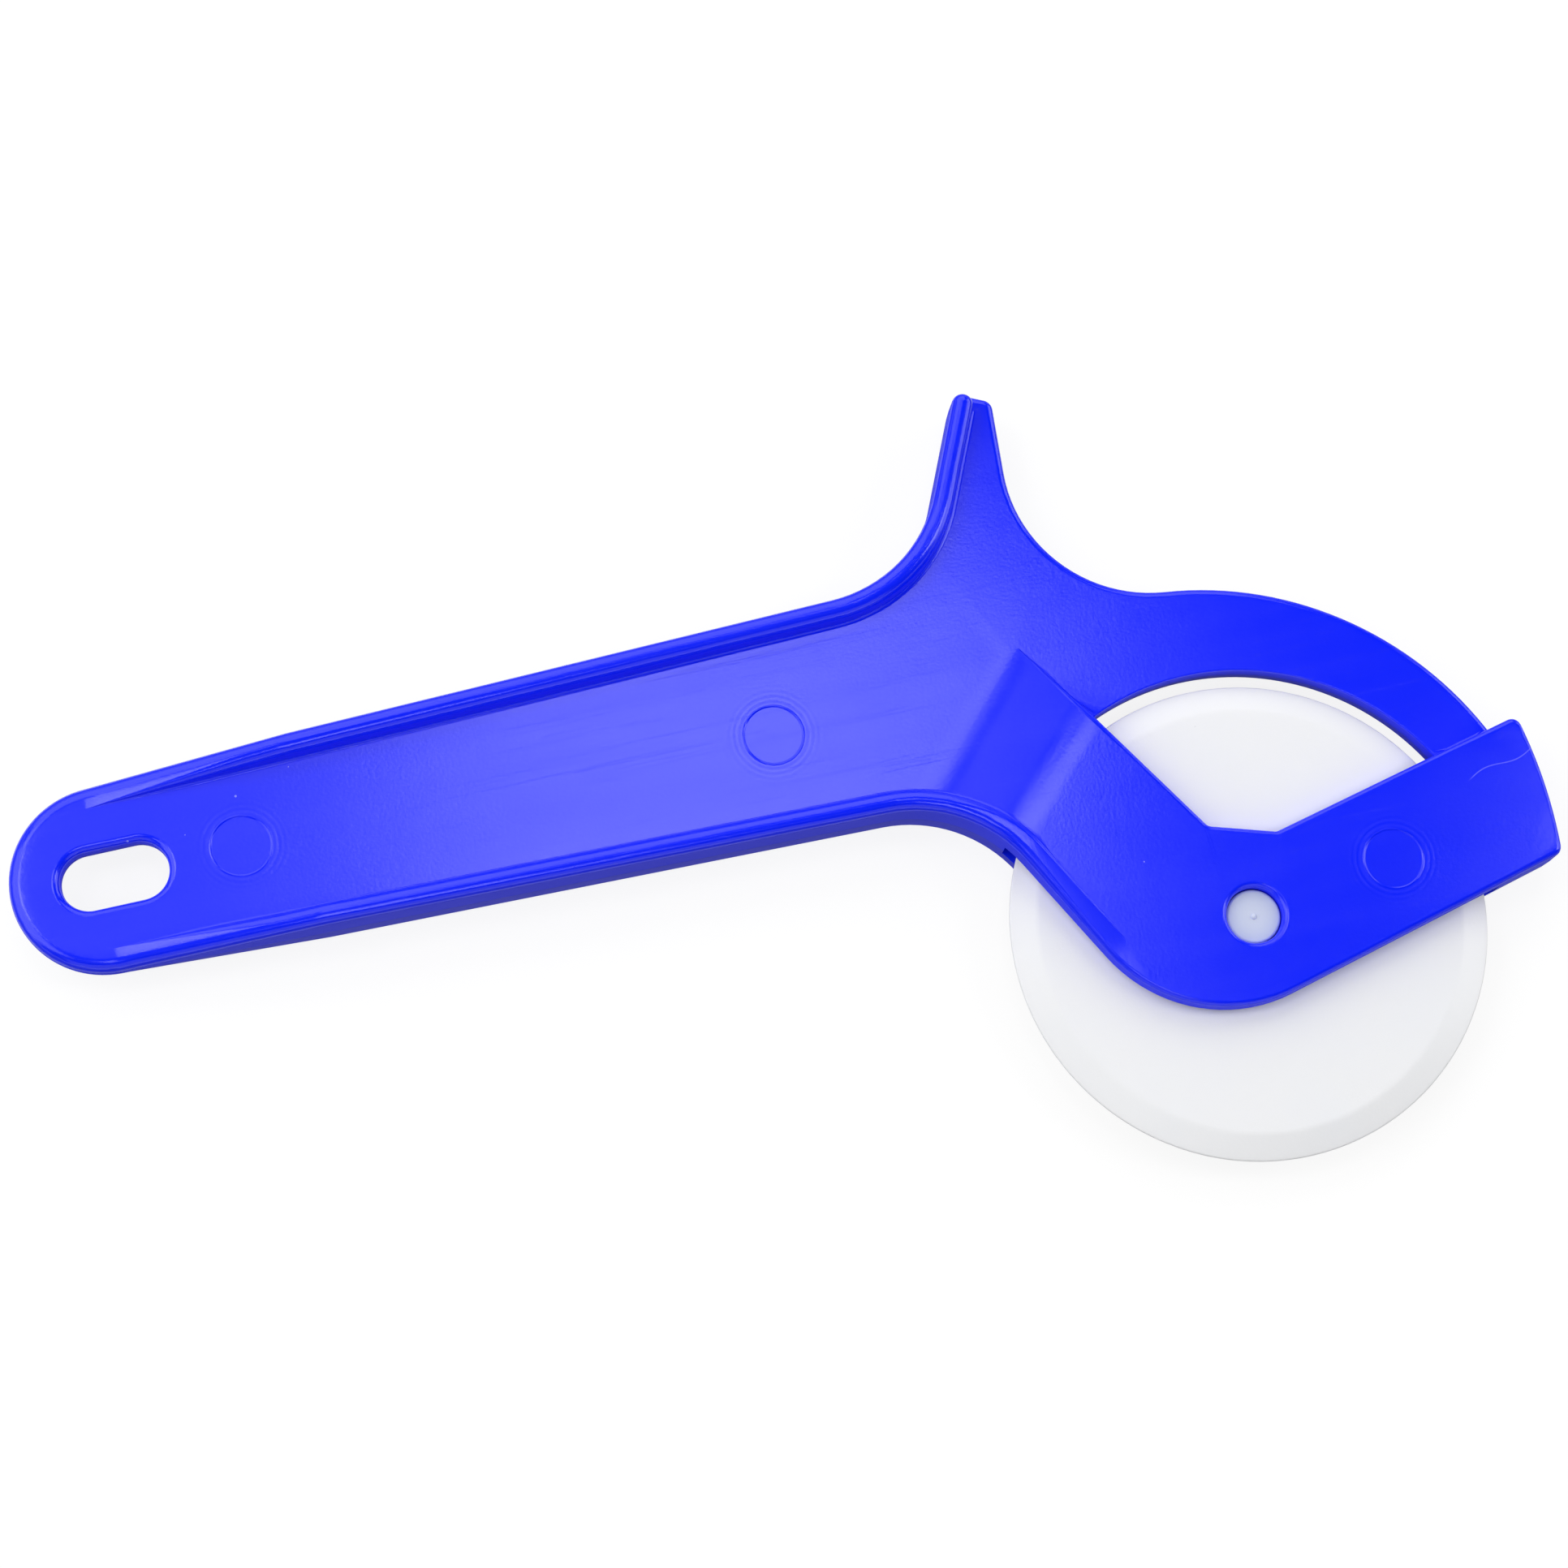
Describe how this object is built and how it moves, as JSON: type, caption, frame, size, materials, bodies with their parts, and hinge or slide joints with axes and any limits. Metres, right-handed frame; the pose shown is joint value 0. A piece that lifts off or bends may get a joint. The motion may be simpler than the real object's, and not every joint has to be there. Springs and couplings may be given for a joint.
{
  "type": "pizza cutter",
  "caption": "Flat moulded handle with a rimmed grip, thumb guard, hanging slot and slotted fork, holding a thin bevelled disc that turns on its own stub axles.",
  "frame": {"origin": "centre of the bounding box in X and Y, on the flat crowns of the rims that it lies on", "axes": "+X along the grip towards the wheel, +Y from the wheel's free edge towards the thumb guard, +Z along the wheel's axle and up from the surface that the cutter lies on"},
  "size_m": [0.193, 0.107, 0.01],
  "materials": {
    "blue_plastic": "glossy moulded plastic, opaque royal blue",
    "white_plastic": "satin to glossy moulded plastic, milky white"
  },
  "bodies": {
    "handle": {"handle": "blue_plastic"},
    "wheel": {"cutting_wheel": "white_plastic"}
  },
  "joints": [
    {"name": "wheel_spin", "type": "hinge", "parent": "handle", "child": "wheel", "pos_m": [0.055, -0.0227, 0.005], "axis": [0, 0, 1], "continuous": true}
  ]
}
